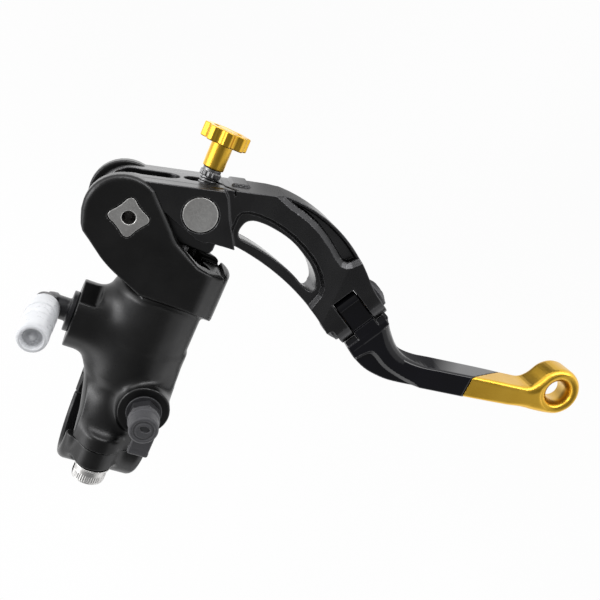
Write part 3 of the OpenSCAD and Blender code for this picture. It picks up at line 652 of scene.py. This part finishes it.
ARM = smooth([(79.5, -8.0), (86.0, -3.0), (87.6, -4.0), (90.3, -7.2), (94.2, -10.9), (99.0, -13.2),
              (105.8, -13.7), (112.0, -12.9), (118.8, -12.0), (125.9, -11.0), (134.0, -9.9),
              (142.1, -8.9), (147.2, -7.8), (150.2, -5.0), (152.4, -1.2), (156.0, 1.4), (160.5, 1.6),
              (164.6, -0.9), (166.6, -5.2), (165.9, -9.8), (162.8, -13.2), (158.6, -14.5),
              (153.0, -15.2), (148.0, -15.9), (136.0, -17.6), (124.0, -19.2), (115.5, -20.3),
              (107.0, -21.4), (100.0, -22.3), (94.6, -22.6), (88.1, -21.8), (83.1, -19.9),
              (79.0, -17.4), (75.9, -14.9), (76.2, -12.6)], 4)
# shallow step in the arm's faces, beside the knuckle
SCOOP = smooth([(78.0, -22.0), (81.6, -18.6), (84.0, -15.8), (86.0, -14.6), (88.4, -15.2),
                (92.0, -17.2), (96.0, -18.5), (101.0, -19.5), (106.0, -20.4), (110.0, -23.5),
                (100.0, -27.0), (84.0, -26.0)], 3)
ARM_TOP = 6.0                                      # half the arm's height
JOINT_X, JOINT_RUN = 123.5, 1.5                    # joint between arm and tip, and its slant
EYE = (158.3, -6.3)                                # hole in the tip, from the lever pivot


def joint_side(px, z):
    """Distance beyond the slanted joint between the folding arm and the tip."""
    return (px - JOINT_X - JOINT_RUN * (ARM_TOP - z)) / math.hypot(1, JOINT_RUN)


def bar_field(px, py, z):
    """Plan, height and edge radius of folding arm and tip as one bar, softer on the hollow side."""
    upper = ramp(py - np.interp(px, (80, 92, 106, 167), (-13, -16, -17.4, -8)), -1.5, 1.5)
    soft = 0.7 + upper * np.interp(px, (84, 90, 98, 108, 120, 150), (3.2, 3.4, 2.6, 0.7, 0.6, 1.2))
    return outline(px, py, ARM), np.abs(z) - ARM_TOP, np.asarray(soft, np.float32)


def arm_field(x, y, z):
    px, py = x - PIVOT[0], y - PIVOT[1]
    a, b = knuckle(px, py)
    plan, level, soft = bar_field(px, py, z)
    d = edge(plan, level + np.clip(-outline(px, py, SCOOP), 0, 1.3) * 0.95, soft)
    # shoulders that follow the round ends of the fork and clear it through the whole fold
    shoulders = brick(a, b, z, (-8.1, 4.0, -5.9), (6.9, 10.0, 5.9), 0.6)
    shoulders = np.maximum(shoulders, 0.788 * z - 0.616 * b + 0.25)
    d = smin(smax(d, ARM_CLEAR + 0.25 - b, 0.3), shoulders, 0.5)
    d = smax(d, ARM_CLEAR - np.hypot(b, z), 0.15)
    # tongue between the tines, with a step in its top face
    tongue = brick(b, z, np.zeros_like(a), (-6.7, -5.9, -9), (12, 5.9, 9), 2.8)
    tongue = edge(tongue, np.abs(a) - FORK_GAP + 0.25, 0.35)
    tongue = cut(tongue, brick(a, b, z, (-9, -3.7, 4.9), (9, 4.5, 12), 0.3), 0.3)
    d = smin(d, tongue, 0.4)
    d = cut(d, np.hypot(b, z) - 2.6, 0.2)
    return smax(d, joint_side(px, z) + 0.04, 0.12)


arm = surface("folding_arm_polished", arm_field, (50, 43, -6.4), (126, 68.5, 6.4), 0.34)
place(arm, "folding_arm", "gloss_black", GLOSS_BLACK, "folding_arm")


def tip_field(x, y, z):
    px, py = x - PIVOT[0], y - PIVOT[1]
    plan, level, soft = bar_field(px, py, z)
    soft = np.maximum(soft, np.interp(px, (124, 142, 150), (1.2, 1.6, 2.8)).astype(np.float32))
    d = edge(plan - 0.5 * ramp(px, 146, 154).astype(np.float32), level, soft)
    # eyelet at the end: a thick rounded rim around a leaning hole that opens towards the near face
    rim_z = 5.7
    ring = np.hypot(px - EYE[0] + 0.30 * (z - rim_z), py - EYE[1] - 0.10 * (z - rim_z))
    hole = 6.6 - 2.9 * np.sqrt(np.maximum(1 - (np.maximum(z, 0) / rim_z) ** 2, 0))
    d = cut(d, (ring - hole) * 0.7, 0.8)
    return smax(d, 0.04 - joint_side(px, z), 0.12)


tip = surface("lever_tip_gold", tip_field, (104, 45, -6.4), (151, 70, 6.4), 0.32)
place(tip, "folding_arm", "gold_anodised", GOLD, "lever_tip")

# ---- fold hinge hardware ----


HINGE_R = 5.3


def hinge_head(side):
    """Domed head on one side of the fork, with its shank on the bolt's side."""
    def field(x, y, z):
        px, py = x - PIVOT[0], y - PIVOT[1]
        a, b = knuckle(px, py)
        a = a * side
        r = np.hypot(b, z)
        head = edge(r - HINGE_R, span(a, FORK_HALF - 0.05, 9.9), 0.4)
        crown = np.maximum(np.hypot(r, a - 3.2) - 8.1, 8.9 - a)
        d = smax(smin(head, crown, 0.3), r - HINGE_R, 0.3)
        d = cut(d, np.maximum(hexagon(b, z, 1.75), 9.6 - a), 0.15)
        return np.minimum(d, disc(b, z, a, 2.5, -8.4, 8.7, 0.3)) if side < 0 else d
    return field


for side, name, node in ((-1, "fold_bolt_domed", "fold_bolt"), (1, "fold_nut_domed", "fold_nut")):
    middle = [FOLD[0] + side * 5 * FORK[0], FOLD[1] + side * 5 * FORK[1]]
    piece = surface(name, hinge_head(side), (middle[0] - 10, middle[1] - 12, -5),
                    (middle[0] + 10, middle[1] + 12, 5), 0.2)
    place(piece, "lever", "dark_steel", DARK_STEEL, node)

# ---- pins and adjuster ----


def cross_pin_field(x, y, z):
    d = disc(x - PIVOT[0] - PIN_X, y - PIVOT[1] - PIN_Y, z, PIN_R, -12.9, 12.9, 0.45)
    return cut(d, np.hypot(x, z) - 2.6, 0.2)


place(surface("cross_pin_turned", cross_pin_field, (-5, 69.5, -13), (5, 79.5, 13), 0.3),
      "cross_pin", "steel", STEEL, "cross_pin")


def pivot_pin_field(x, y, z):
    px, py = x - PIVOT[0], y - PIVOT[1]
    plate = edge(lobed(px, py), span(z, 12.0, EAR_TOP - 0.1), 0.3)
    shank = disc(px, py, z, 3.95, -11, 13, 0.3)
    d = np.minimum(plate, shank)
    return cut(d, disc(px, py, z, 1.85, -4.5, 20), 0.3)


place(surface("pivot_pin_lobed", pivot_pin_field, (-24, 60, -12), (-11, 74, 15), 0.25),
      "cylinder", "steel", STEEL, "pivot_pin")


def pivot_screw_field(x, y, z):
    px, py = x - PIVOT[0], y - PIVOT[1]
    d = disc(px, py, z, 5.4, -14.6, -12.6, 0.5)
    d = np.minimum(d, disc(px, py, z, 2.0, -14, -5.2, 0.2))
    return cut(d, np.maximum(hexagon(px, py, 1.75), z + 12.9), 0.12)


place(surface("pivot_screw_head", pivot_screw_field, (-24, 61, -15), (-11, 73, -5), 0.2),
      "cylinder", "steel", STEEL, "pivot_screw")


BALL_Y = 51                                        # centre of the push rod's ball end


def screw_field(x, y, z):
    r = np.hypot(x, z)
    ridge = thread(y, x, z, 0.8, 0.176) * ((y > 62) & (y < 83))
    rod = edge(r - 2.45 - ridge, span(y, BALL_Y, PIVOT[1] + 27), 0.2)
    ball = np.maximum(np.hypot(r, y - BALL_Y) - 3.2, y - BALL_Y - 2.2)
    star = 2.95 + 0.16 * np.cos(14 * np.arctan2(z, x))
    collar = edge(r - star, span(y, PIVOT[1] + 16.4, PIVOT[1] + 18.0), 0.3)
    neck = edge(r - 2.7, span(y, PIVOT[1] + 17.8, PIVOT[1] + 18.9), 0.2)
    return np.minimum(np.minimum(rod, ball), np.minimum(collar, neck))


place(surface("adjuster_screw_threaded", screw_field, (-4, 47, -4), (4, 94.5, 4), 0.2),
      "adjuster_screw", "steel", ZINC_STEEL, "adjuster_screw")


SCALLOPS = 8


def knob_field(x, y, z):
    v, r = y - PIVOT[1], np.hypot(x, z)
    stem = edge(r - 3.15, span(v, 19.0, 27), 0.35)
    bite = np.full(x.shape, 99.0, np.float32)
    for i in range(SCALLOPS):
        c = 2 * math.pi * (i + 0.5) / SCALLOPS
        bite = np.minimum(bite, np.hypot(x - 7.6 * math.cos(c), z - 7.6 * math.sin(c)) - 1.7)
    head = edge(cut(r - 6.9, bite, 0.7), span(v, 26.4, 30.6), 0.4)
    d = smin(stem, head, 0.25)
    dish = np.maximum(r - 4.3, 30.1 - v)
    d = cut(d, np.maximum(dish, 3.0 - r), 0.25)
    d = cut(d, np.maximum(r - 2.52, v - 27.1), 0.15)
    return cut(d, np.maximum(np.hypot(v - 22, z) - 1.0, -x), 0.15)


knob = surface("adjuster_knob_scalloped", knob_field, (-7.2, 85.5, -7.2), (7.2, 98, 7.2), 0.2)
place(knob, "adjuster_knob", "gold_anodised", GOLD, "adjuster_knob")

# ---- clamp hardware ----


HEAD_Y = SEAT_Y - SHIM                             # underside of the bolt heads


def bolt_field(side):
    """Socket head bolt with a knurled head."""
    def field(x, y, z):
        u, w = x - BOLT_X, z - side * BOLT_Z
        r, low = np.hypot(u, w), HEAD_Y - HEAD
        knurl = 0.13 * np.abs(np.cos(22 * np.arctan2(w, u))) * ramp(y, low + 0.5, low + 1)
        knurl = knurl * (1 - ramp(y, HEAD_Y - 1.9, HEAD_Y - 1.5))
        head = edge(r - 4.88 - knurl, span(y, low, HEAD_Y), 0.45)
        ridge = thread(y, u, w, 1.0, 0.15) * (y > -2)
        shank = edge(r - 2.85 - ridge, span(y, -9, 4.5), 0.3)
        return cut(np.minimum(head, shank), np.maximum(hexagon(u, w, 2.5), y - low - 3), 0.15)
    return field


def washer_field(side):
    def field(x, y, z):
        r = np.hypot(x - BOLT_X, z - side * BOLT_Z)
        return smax(edge(r - 5.4, span(y, HEAD_Y + 0.02, SEAT_Y - 0.02), 0.2), 3.2 - r, 0.15)
    return field


for side, label in ((1, "upper"), (-1, "lower")):
    z0 = side * BOLT_Z
    bolt = surface("clamp_bolt_" + label, bolt_field(side), (-6, -14.8, z0 - 5.3), (5, 11, z0 + 5.3), 0.2)
    place(bolt, "cylinder", "steel", STEEL, "clamp_bolts")
    washer = surface("clamp_washer_" + label, washer_field(side), (-6.4, -8.6, z0 - 5.8),
                     (5.2, -7.2, z0 + 5.8), 0.2)
    place(washer, "cylinder", "steel", STEEL, "clamp_washers")

# ---- inlet elbow and its cap ----

NOZZLE_X = -29.7                                   # axis of the upright nozzle


def elbow_field(x, y, z):
    v = y - SWIVEL[1]
    bend_r = 2.2
    pipe_x = disc(v, z, x, 3.45, NOZZLE_X, SWIVEL[0] + 0.5, 0.2)
    pipe_z = disc(x - NOZZLE_X, v, z, 3.4, 0, 24, 0.3)
    qx, qz = x - (NOZZLE_X + bend_r), z - bend_r
    knee = np.sqrt(qx * qx + v * v + qz * qz) - bend_r - 3.4
    knee = np.maximum(np.maximum(knee, np.abs(v) - 3.55), np.maximum(qx, qz) - 0.3)
    knee = smax(knee, np.hypot(v, np.minimum(np.abs(qx), np.abs(qz))) - 3.6, 1.0)
    d = smin(np.minimum(pipe_x, pipe_z), knee, 0.8)
    flange = disc(v, z, x, 6.15, SWIVEL[0] - 1.6, SWIVEL[0] - 0.03, 0.3)
    d = smin(d, flange, 0.7)
    spigot = disc(v, z, x, 4.95, SWIVEL[0] - 0.2, SWIVEL[0] + 7.4, 0.3)
    d = np.minimum(d, spigot)
    return cut(d, disc(x - NOZZLE_X, v, z, 1.6, 2, 40), 0.2)


place(surface("inlet_elbow_moulded", elbow_field, (-34, 23.5, -4.5), (-13, 38.5, 24.5), 0.3),
      "inlet_elbow", "black_plastic", BLACK_PLASTIC, "inlet_elbow")


def nozzle_cap_field(x, y, z):
    r = np.hypot(x - NOZZLE_X, y - SWIVEL[1])
    level = np.interp(z, (3.8, 4.6, 10.6, 11.3, 11.7, 12.6, 13.1, 17.6, 18.1, 25.2, 26.4, 27.0),
                      (4.25, 4.45, 4.5, 4.5, 4.28, 4.28, 4.4, 4.3, 4.15, 4.1, 3.9, 3.5))
    d = edge(r - level.astype(np.float32), span(z, 3.8, 27.0), 0.5)
    cup = np.maximum(r - 2.9 + (27.0 - z) * 0.25, 25.0 - z)
    d = cut(d, cup, 0.5)
    nib = np.sqrt(r * r + (z - 24.7) ** 2) - 1.3
    d = smin(d, np.maximum(nib, 24.0 - z), 0.5)
    return cut(d, disc(x - NOZZLE_X, y - SWIVEL[1], z, 3.5, -5, 24.15, 0.3), 0.2)


place(surface("nozzle_cap_moulded", nozzle_cap_field, (-34.6, 26.2, 3.4), (-24.8, 35.8, 27.4), 0.22),
      "nozzle_cap", "white_plastic", WHITE_PLASTIC, "nozzle_cap")

# ---- bleed screw and cap ----


def bleed_field(x, y, z):
    u, v = x - BLEED[0], y - BLEED[1]
    r = np.hypot(u, v)
    nut = edge(hexagon(u, v, 4.0), span(z, 17.75, 21.2), 0.25)
    nut = smax(nut, r - 4.5 - np.minimum(z - 17.9, 21.2 - z), 0.1)
    stem = disc(u, v, z, 2.1, 21, 24, 0.2)
    tip_cone = np.maximum(r - 2.6 + (z - 23.6) * 0.42, span(z, 23.6, 26.0))
    shank = disc(u, v, z, 2.9, 11, 18.2, 0.5)
    d = np.minimum(np.minimum(nut, stem), np.minimum(tip_cone, shank))
    return cut(d, disc(u, v, z, 0.8, 14, 40), 0.1)


place(surface("bleed_screw_hex", bleed_field, (1, 10, 10.5), (11, 20, 26.5), 0.22),
      "bleed_screw", "dark_steel", DARK_STEEL, "bleed_screw")


def bleed_washer_field(x, y, z):
    r = np.hypot(x - BLEED[0], y - BLEED[1])
    return smax(edge(r - 5.2, span(z, 17.02, 17.72), 0.2), 3.1 - r, 0.1)


place(surface("bleed_washer_turned", bleed_washer_field, (0.5, 9.5, 16.8), (11.7, 20.5, 17.9), 0.2),
      "cylinder", "dark_steel", DARK_STEEL, "bleed_washer")


def bleed_cap_field(x, y, z):
    u, v = x - BLEED[0], y - BLEED[1]
    r = np.hypot(u, v)
    skirt = disc(u, v, z, 4.55, 21.4, 23.4, 0.5)
    top = disc(u, v, z, 4.2, 22, 28, 0.9)
    d = smin(skirt, top, 0.5)
    groove = np.hypot(r - 2.7, z - 28.1) - 0.42
    d = cut(d, groove, 0.3)
    dimple = np.maximum(np.hypot(u - 0.2, (v - 0.5) * 1.6) - 1.5, 27.4 - z)
    d = cut(d, dimple, 0.4)
    bridge = brick(u, v, z, (-1.0, -10.8, 21.5), (4.9, -2.4, 23.1), 0.5)
    tab = brick(u, v, z, (-1.0, -10.8, 19.7), (4.9, -9.4, 23.1), 0.5)
    d = smin(d, smin(bridge, tab, 0.6), 1.0)
    return cut(d, disc(u, v, z, 2.65, 15, 26.3, 0.3), 0.3)


place(surface("bleed_cap_rubber", bleed_cap_field, (0.6, 3.6, 18.5), (11.6, 20, 28.4), 0.22),
      "bleed_cap", "rubber_cap", RUBBER_CAP, "bleed_cap")


def boot_field(x, y, z):
    r, v = np.hypot(x, z), y - 54.0
    profile = [(8.4, 0), (8.4, 1.2), (7.4, 1.6), (6.2, 2.1), (6.4, 2.7), (5, 3.2), (5.1, 3.7), (4.2, 4.1),
               (3.3, 4.1), (3.3, 3.6), (4.1, 2.8), (5, 1.7), (6.4, 0.7), (7.4, 0)]
    return outline(r, v, profile) - 0.05


place(surface("dust_boot_moulded", boot_field, (-9, 53.8, -9), (9, 60, 9), 0.25),
      "cylinder", "rubber", RUBBER, "dust_boot")

# ---- stage, light and camera ----

floor_z = cad_low.z - 0.045
FAR = 3
mesh = bpy.data.meshes.new("floor_sheet")
mesh.from_pydata([(-FAR, -FAR, floor_z), (FAR, -FAR, floor_z), (FAR, FAR, floor_z), (-FAR, FAR, floor_z)],
                 [], [(0, 1, 2, 3)])
floor = bpy.data.objects.new("floor_sheet", mesh)
bpy.context.scene.collection.objects.link(floor)
f = Nodes("pale_floor")
tone = f.mix(f.spread(f.noise(3, 2), 0, 1), (0.97, 0.97, 0.97, 1), (1, 1, 1, 1))
seen = f.add("ShaderNodeLightPath").outputs["Is Camera Ray"]
# painted light: what the object sees in the floor glows with a painted pool of light below it, a painted
# shadow under the lever block and painted shade to the right, which gives the black metal its light and dark bands
painted_light_pool = f.spread(f.distance((0.015, 0.115, floor_z)), 1.9, 1.2, 0.05, 0.12)
# painted shadow of the lever block, seen only in reflections
painted_block_shadow = f.spread(f.distance((0.037, 0.101, floor_z)), 0.22, 1.0, 0.014, 0.034)
across = f.add("ShaderNodeSeparateXYZ", {0: f.coord}).outputs["X"]
shade = f.maths("MAXIMUM", f.spread(across, 1.0, 0.10, 0.07, 0.085), f.spread(across, 0, 1.0, 0.125, 0.14))
painted_floor_light = f.maths("MULTIPLY", f.maths("MULTIPLY", painted_light_pool, painted_block_shadow), shade)
f.set(Base_Color=(0, 0, 0, 1), Roughness=0.9, Emission_Color=tone,
      Emission_Strength=f.add("ShaderNodeMix", {0: seen, 2: painted_floor_light, 3: 1.0}).outputs[0])
f.shader.inputs["Specular IOR Level"].default_value = 0
mesh.materials.append(f.material)

world = bpy.data.worlds.new("studio")
bpy.context.scene.world = world
world.use_nodes = True
tree = world.node_tree


def world_node(kind, inputs, **settings):
    node = tree.nodes.new(kind)
    for key, value in settings.items():
        setattr(node, key, value)
    for key, value in inputs.items():
        if isinstance(value, bpy.types.NodeSocket):
            tree.links.new(value, node.inputs[key])
        else:
            node.inputs[key].default_value = value
    return node.outputs[0]


def world_step(value, start, end, low, high):
    inputs = {"Value": value, "From Min": start, "From Max": end, "To Min": low, "To Max": high}
    return world_node("ShaderNodeMapRange", inputs, interpolation_type="SMOOTHSTEP")


# bright horizon, darker overhead, brighter to the left, and a soft panel far to the right
where = tree.nodes.new("ShaderNodeTexCoord").outputs["Generated"]
parts = tree.nodes.new("ShaderNodeSeparateXYZ")
tree.links.new(where, parts.inputs[0])
band = world_step(parts.outputs["Z"], 0.16, 0.56, 1.6, 0.24)
lean = world_node("ShaderNodeMath", {0: parts.outputs["X"], 1: -1.0, 2: 1.0}, operation="MULTIPLY_ADD")
lean = world_node("ShaderNodeMath", {0: lean, 1: 0.95}, operation="MAXIMUM")
panel = world_step(parts.outputs["X"], 0.53, 0.63, 0.0, 0.9)
band = world_node("ShaderNodeMath", {0: band, 1: panel}, operation="MAXIMUM")
glow = world_node("ShaderNodeMath", {0: band, 1: lean}, operation="MULTIPLY")
seen = tree.nodes.new("ShaderNodeLightPath").outputs["Is Camera Ray"]
glow = world_node("ShaderNodeMix", {0: seen, 2: glow, 3: 0.97})
tree.links.new(glow, tree.nodes["Background"].inputs[1])
tree.nodes["Background"].inputs[0].default_value = (1, 1, 1, 1)


def soft_light(name, place_at, target, size, watts):
    lamp = bpy.data.lights.new(name, "AREA")
    lamp.shape = "RECTANGLE"
    lamp.size, lamp.size_y = size
    lamp.energy = watts
    o = bpy.data.objects.new(name, lamp)
    o.location = place_at
    o.rotation_mode = "QUATERNION"
    o.rotation_quaternion = (Vector(target) - Vector(place_at)).to_track_quat("-Z", "Y")
    bpy.context.scene.collection.objects.link(o)


centre = (cad_low + cad_high) / 2
soft_light("key_left", (-0.8, 0.1, 0.35), centre, (0.3, 0.6), 2.5)
soft_light("top_strip", (0.15, 0.8, 0.30), centre, (1.2, 0.16), 4)

# the camera looks down at the object from the photo's angle: turn about an axis, then place
VIEW_ROTATION = Vector((-2.7481, -0.5553, -0.3846))
VIEW_FROM = (-0.02862, 0.11213, 0.20019)
turn = Matrix.Rotation(VIEW_ROTATION.length, 3, VIEW_ROTATION.normalized())
camera = bpy.data.objects.new("camera", bpy.data.cameras.new("camera"))
bpy.context.scene.collection.objects.link(camera)
right, down, forward = turn[0], turn[1], turn[2]
camera.matrix_world = Matrix([(right[i], -down[i], -forward[i], VIEW_FROM[i]) for i in range(3)]
                             + [(0, 0, 0, 1)])
camera.data.sensor_width = 36
camera.data.lens = 41.78
camera.data.clip_start = 0.01
bpy.context.scene.camera = camera
bpy.context.scene.view_settings.view_transform = "Standard"

bpy.context.view_layer.update()
